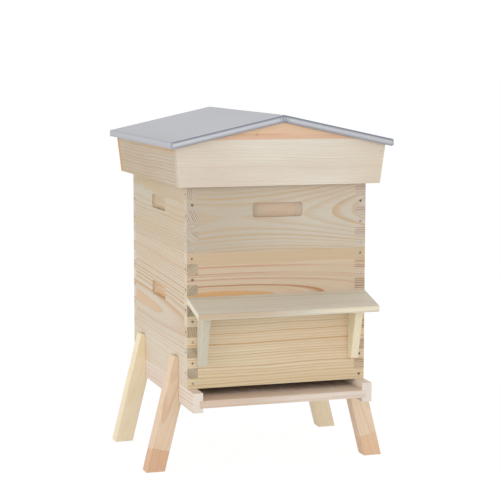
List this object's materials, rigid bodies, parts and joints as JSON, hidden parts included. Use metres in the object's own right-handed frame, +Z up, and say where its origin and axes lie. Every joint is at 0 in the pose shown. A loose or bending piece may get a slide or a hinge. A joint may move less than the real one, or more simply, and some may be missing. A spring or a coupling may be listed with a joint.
{
  "type": "beehive",
  "caption": "Wooden beehive on splayed legs: floor with landing strip, brood box with porch and hanging frames, honey super with frames, crown tray and a pitched metal-clad roof that lifts off.",
  "frame": {"origin": "on the ground, under the middle of the footprint, which runs from the porch's front edge to the roof's back edge", "axes": "+Z up, front of the hive with entrance and porch towards -Y, +X to the right seen from the front"},
  "size_m": [0.5868, 0.644, 0.8278],
  "materials": {
    "box_pine": "planed bare pine",
    "porch_wood": "planed bare softwood",
    "floor_wood": "sawn bare softwood",
    "leg_wood": "planed bare softwood",
    "frame_wood": "planed bare limewood",
    "tray_wood": "planed bare pine",
    "tray_board": "thin grey board",
    "roof_wood": "planed bare pine",
    "deck_ply": "bare plywood",
    "galvanised_sheet": "matt galvanised sheet, folded",
    "nail_steel": "bright steel"
  },
  "bodies": {
    "floor_stand": {"left_floor_rail": "floor_wood", "right_floor_rail": "floor_wood", "back_floor_rail": "floor_wood", "landing_strip": "floor_wood", "left_floor_board": "floor_wood", "right_floor_board": "floor_wood", "front_left_leg": "leg_wood", "front_right_leg": "leg_wood", "back_left_leg": "leg_wood", "back_right_leg": "leg_wood", "leg_screws": "nail_steel", "floor_nails": "nail_steel"},
    "brood_box": {"brood_front_board": "box_pine", "brood_back_board": "box_pine", "brood_left_board": "box_pine", "brood_right_board": "box_pine", "brood_nails": "nail_steel", "porch_board": "porch_wood", "left_porch_bracket": "porch_wood", "right_porch_bracket": "porch_wood", "porch_screws": "nail_steel"},
    "super_box": {"super_front_board": "box_pine", "super_back_board": "box_pine", "super_left_board": "box_pine", "super_right_board": "box_pine", "super_nails": "nail_steel"},
    "crown_tray": {"tray_panel": "tray_board", "tray_front_stick": "tray_wood", "tray_back_stick": "tray_wood", "tray_left_stick": "tray_wood", "tray_right_stick": "tray_wood"},
    "roof": {"front_gable": "roof_wood", "back_gable": "roof_wood", "left_roof_side": "roof_wood", "right_roof_side": "roof_wood", "roof_rests": "roof_wood", "left_roof_deck": "deck_ply", "right_roof_deck": "deck_ply", "roof_sheet": "galvanised_sheet", "roof_nails": "nail_steel"},
    "brood_frame_01": {"brood_frame_01": "frame_wood"},
    "brood_frame_02": {"brood_frame_02": "frame_wood"},
    "brood_frame_03": {"brood_frame_03": "frame_wood"},
    "brood_frame_04": {"brood_frame_04": "frame_wood"},
    "brood_frame_05": {"brood_frame_05": "frame_wood"},
    "brood_frame_06": {"brood_frame_06": "frame_wood"},
    "brood_frame_07": {"brood_frame_07": "frame_wood"},
    "brood_frame_08": {"brood_frame_08": "frame_wood"},
    "brood_frame_09": {"brood_frame_09": "frame_wood"},
    "brood_frame_10": {"brood_frame_10": "frame_wood"},
    "super_frame_01": {"super_frame_01": "frame_wood"},
    "super_frame_02": {"super_frame_02": "frame_wood"},
    "super_frame_03": {"super_frame_03": "frame_wood"},
    "super_frame_04": {"super_frame_04": "frame_wood"},
    "super_frame_05": {"super_frame_05": "frame_wood"},
    "super_frame_06": {"super_frame_06": "frame_wood"},
    "super_frame_07": {"super_frame_07": "frame_wood"},
    "super_frame_08": {"super_frame_08": "frame_wood"},
    "super_frame_09": {"super_frame_09": "frame_wood"},
    "super_frame_10": {"super_frame_10": "frame_wood"}
  },
  "joints": [
    {"name": "lift_brood_box", "type": "slide", "parent": "floor_stand", "child": "brood_box", "axis": [0, 0, 1], "range_m": [0, 0.043]},
    {"name": "lift_super", "type": "slide", "parent": "brood_box", "child": "super_box", "axis": [0, 0, 1], "range_m": [0, 0.039]},
    {"name": "lift_crown_tray", "type": "slide", "parent": "super_box", "child": "crown_tray", "axis": [0, 0, 1], "range_m": [0, 0.034]},
    {"name": "lift_roof", "type": "slide", "parent": "crown_tray", "child": "roof", "axis": [0, 0, 1], "range_m": [0, 0.079]},
    {"name": "lift_brood_frame_01", "type": "slide", "parent": "brood_box", "child": "brood_frame_01", "axis": [0, 0, 1], "range_m": [0, 0.007]},
    {"name": "lift_brood_frame_02", "type": "slide", "parent": "brood_box", "child": "brood_frame_02", "axis": [0, 0, 1], "range_m": [0, 0.007]},
    {"name": "lift_brood_frame_03", "type": "slide", "parent": "brood_box", "child": "brood_frame_03", "axis": [0, 0, 1], "range_m": [0, 0.007]},
    {"name": "lift_brood_frame_04", "type": "slide", "parent": "brood_box", "child": "brood_frame_04", "axis": [0, 0, 1], "range_m": [0, 0.007]},
    {"name": "lift_brood_frame_05", "type": "slide", "parent": "brood_box", "child": "brood_frame_05", "axis": [0, 0, 1], "range_m": [0, 0.007]},
    {"name": "lift_brood_frame_06", "type": "slide", "parent": "brood_box", "child": "brood_frame_06", "axis": [0, 0, 1], "range_m": [0, 0.007]},
    {"name": "lift_brood_frame_07", "type": "slide", "parent": "brood_box", "child": "brood_frame_07", "axis": [0, 0, 1], "range_m": [0, 0.007]},
    {"name": "lift_brood_frame_08", "type": "slide", "parent": "brood_box", "child": "brood_frame_08", "axis": [0, 0, 1], "range_m": [0, 0.007]},
    {"name": "lift_brood_frame_09", "type": "slide", "parent": "brood_box", "child": "brood_frame_09", "axis": [0, 0, 1], "range_m": [0, 0.007]},
    {"name": "lift_brood_frame_10", "type": "slide", "parent": "brood_box", "child": "brood_frame_10", "axis": [0, 0, 1], "range_m": [0, 0.007]},
    {"name": "lift_super_frame_01", "type": "slide", "parent": "super_box", "child": "super_frame_01", "axis": [0, 0, 1], "range_m": [0, 0.007]},
    {"name": "lift_super_frame_02", "type": "slide", "parent": "super_box", "child": "super_frame_02", "axis": [0, 0, 1], "range_m": [0, 0.007]},
    {"name": "lift_super_frame_03", "type": "slide", "parent": "super_box", "child": "super_frame_03", "axis": [0, 0, 1], "range_m": [0, 0.007]},
    {"name": "lift_super_frame_04", "type": "slide", "parent": "super_box", "child": "super_frame_04", "axis": [0, 0, 1], "range_m": [0, 0.007]},
    {"name": "lift_super_frame_05", "type": "slide", "parent": "super_box", "child": "super_frame_05", "axis": [0, 0, 1], "range_m": [0, 0.007]},
    {"name": "lift_super_frame_06", "type": "slide", "parent": "super_box", "child": "super_frame_06", "axis": [0, 0, 1], "range_m": [0, 0.007]},
    {"name": "lift_super_frame_07", "type": "slide", "parent": "super_box", "child": "super_frame_07", "axis": [0, 0, 1], "range_m": [0, 0.007]},
    {"name": "lift_super_frame_08", "type": "slide", "parent": "super_box", "child": "super_frame_08", "axis": [0, 0, 1], "range_m": [0, 0.007]},
    {"name": "lift_super_frame_09", "type": "slide", "parent": "super_box", "child": "super_frame_09", "axis": [0, 0, 1], "range_m": [0, 0.007]},
    {"name": "lift_super_frame_10", "type": "slide", "parent": "super_box", "child": "super_frame_10", "axis": [0, 0, 1], "range_m": [0, 0.007]}
  ]
}
